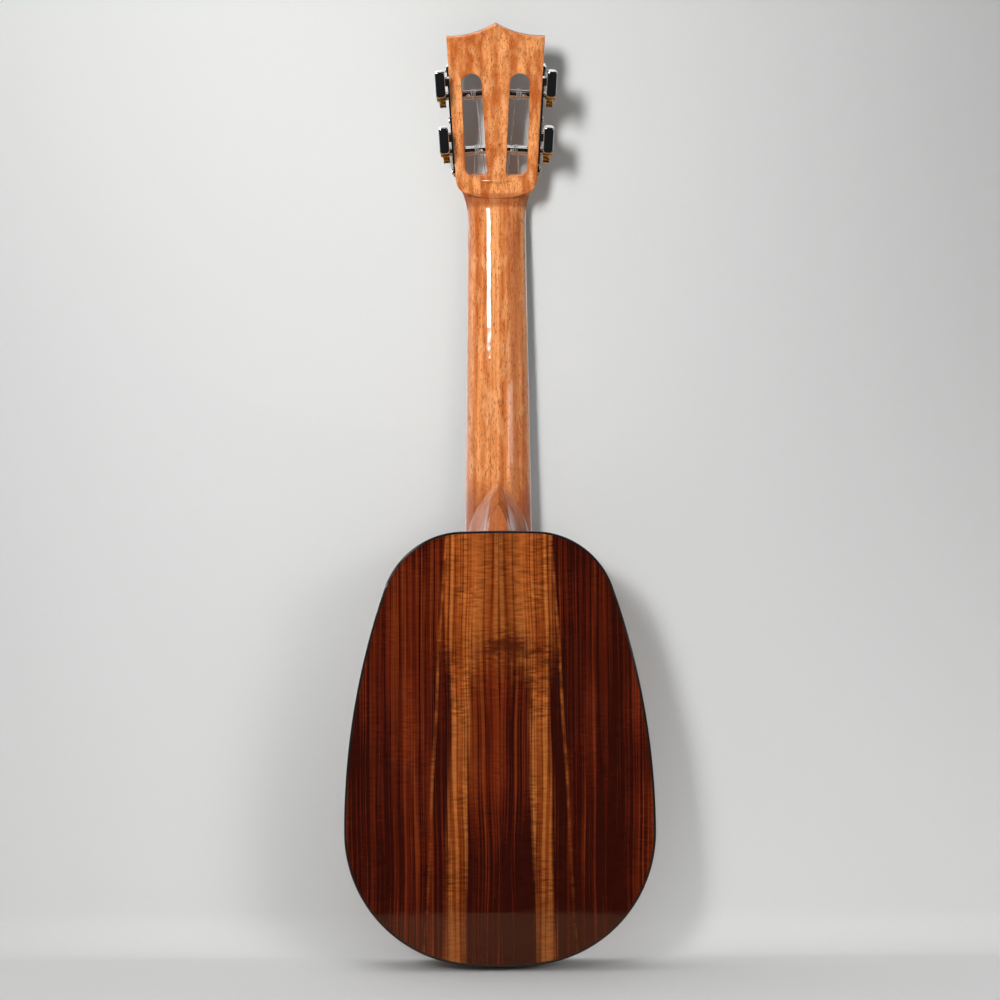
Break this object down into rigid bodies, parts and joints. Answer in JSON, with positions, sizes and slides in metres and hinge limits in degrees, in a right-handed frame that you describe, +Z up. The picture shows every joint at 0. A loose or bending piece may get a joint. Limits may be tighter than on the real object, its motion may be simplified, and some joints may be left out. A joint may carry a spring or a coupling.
{
  "type": "pineapple ukulele",
  "caption": "Pineapple-shaped ukulele with matched wooden plates, black binding, pointed heel and slotted head with geared tuners.",
  "frame": {"origin": "middle of the bounding box at the level of the tail, the body's lowest point", "axes": "+Z up along the neck to the head's tip, -Y out of the soundboard, +Y out of the arched back, -X towards the bass side"},
  "size_m": [0.1916, 0.0773, 0.5892],
  "materials": {
    "top_wood": "gloss lacquer over figured red-brown wood",
    "back_wood": "gloss lacquer over matched striped dark red-brown wood",
    "side_wood": "gloss lacquer over striped dark red-brown wood",
    "inner_wood": "bare pale softwood",
    "neck_wood": "gloss lacquer over orange-brown wood with dark pores",
    "dark_wood": "oiled near-black wood",
    "binding": "polished black",
    "rosette": "inlaid rings under lacquer",
    "bone": "polished ivory-white bone",
    "fret_wire": "polished nickel silver",
    "pearl": "mother-of-pearl sheen",
    "chrome": "bright chrome plate",
    "steel": "bright turned steel",
    "brass": "cut and polished brass",
    "string": "clear polymer cord"
  },
  "bodies": {
    "instrument": {"top_plate_bass": "top_wood", "top_plate_treble": "top_wood", "back_plate_bass": "back_wood", "back_plate_treble": "back_wood", "side_bass": "side_wood", "side_treble": "side_wood", "top_lining": "inner_wood", "back_lining": "inner_wood", "top_binding": "binding", "back_binding": "binding", "neck_block": "inner_wood", "tail_block": "inner_wood", "upper_top_brace": "inner_wood", "lower_top_brace": "inner_wood", "fan_braces": "inner_wood", "bridge_patch": "inner_wood", "lower_back_brace": "inner_wood", "middle_back_brace": "inner_wood", "upper_back_brace": "inner_wood", "back_centre_strip": "inner_wood", "sound_hole_rosette": "rosette", "bridge": "dark_wood", "saddle": "bone", "nut": "bone", "fretboard": "dark_wood", "frets": "fret_wire", "position_dots": "pearl", "neck": "neck_wood", "heel_cap": "neck_wood", "neck_dowels": "inner_wood", "headplate": "dark_wood", "tuner_plate_bass": "chrome", "tuner_plate_treble": "chrome", "plate_screws": "chrome", "first_string": "string", "second_string": "string", "third_string": "string", "fourth_string": "string"},
    "bass_lower_roller": {"roller_bass_lower": "steel", "gear_bass_lower": "brass", "gear_screw_bass_lower": "brass"},
    "bass_lower_button": {"worm_bass_lower": "steel", "button_bass_lower": "chrome"},
    "bass_upper_roller": {"roller_bass_upper": "steel", "gear_bass_upper": "brass", "gear_screw_bass_upper": "brass"},
    "bass_upper_button": {"worm_bass_upper": "steel", "button_bass_upper": "chrome"},
    "treble_lower_roller": {"roller_treble_lower": "steel", "gear_treble_lower": "brass", "gear_screw_treble_lower": "brass"},
    "treble_lower_button": {"worm_treble_lower": "steel", "button_treble_lower": "chrome"},
    "treble_upper_roller": {"roller_treble_upper": "steel", "gear_treble_upper": "brass", "gear_screw_treble_upper": "brass"},
    "treble_upper_button": {"worm_treble_upper": "steel", "button_treble_upper": "chrome"}
  },
  "joints": [
    {"name": "bass_lower_roller_turn", "type": "hinge", "parent": "instrument", "child": "bass_lower_roller", "pos_m": [-0.02655, -0.01424, 0.50888], "axis": [-0.9982, -0.0135, -0.0587], "continuous": true},
    {"name": "bass_lower_button_turn", "type": "hinge", "parent": "instrument", "child": "bass_lower_button", "pos_m": [-0.03269, -0.01225, 0.51747], "axis": [0, 0.9744, -0.225], "continuous": true},
    {"name": "bass_upper_roller_turn", "type": "hinge", "parent": "instrument", "child": "bass_upper_roller", "pos_m": [-0.02866, -0.00638, 0.54292], "axis": [-0.9982, -0.0135, -0.0587], "continuous": true},
    {"name": "bass_upper_button_turn", "type": "hinge", "parent": "instrument", "child": "bass_upper_button", "pos_m": [-0.0348, -0.00439, 0.55151], "axis": [0, 0.9744, -0.225], "continuous": true},
    {"name": "treble_lower_roller_turn", "type": "hinge", "parent": "instrument", "child": "treble_lower_roller", "pos_m": [0.02655, -0.01424, 0.50888], "axis": [0.9982, -0.0135, -0.0587], "continuous": true},
    {"name": "treble_lower_button_turn", "type": "hinge", "parent": "instrument", "child": "treble_lower_button", "pos_m": [0.03269, -0.01225, 0.51747], "axis": [0, 0.9744, -0.225], "continuous": true},
    {"name": "treble_upper_roller_turn", "type": "hinge", "parent": "instrument", "child": "treble_upper_roller", "pos_m": [0.02866, -0.00638, 0.54292], "axis": [0.9982, -0.0135, -0.0587], "continuous": true},
    {"name": "treble_upper_button_turn", "type": "hinge", "parent": "instrument", "child": "treble_upper_button", "pos_m": [0.0348, -0.00439, 0.55151], "axis": [0, 0.9744, -0.225], "continuous": true}
  ],
  "couplings": [
    {"joint": "bass_lower_roller_turn", "follows": "bass_lower_button_turn", "ratio": -0.066667},
    {"joint": "bass_upper_roller_turn", "follows": "bass_upper_button_turn", "ratio": -0.066667},
    {"joint": "treble_lower_roller_turn", "follows": "treble_lower_button_turn", "ratio": 0.066667},
    {"joint": "treble_upper_roller_turn", "follows": "treble_upper_button_turn", "ratio": 0.066667}
  ]
}
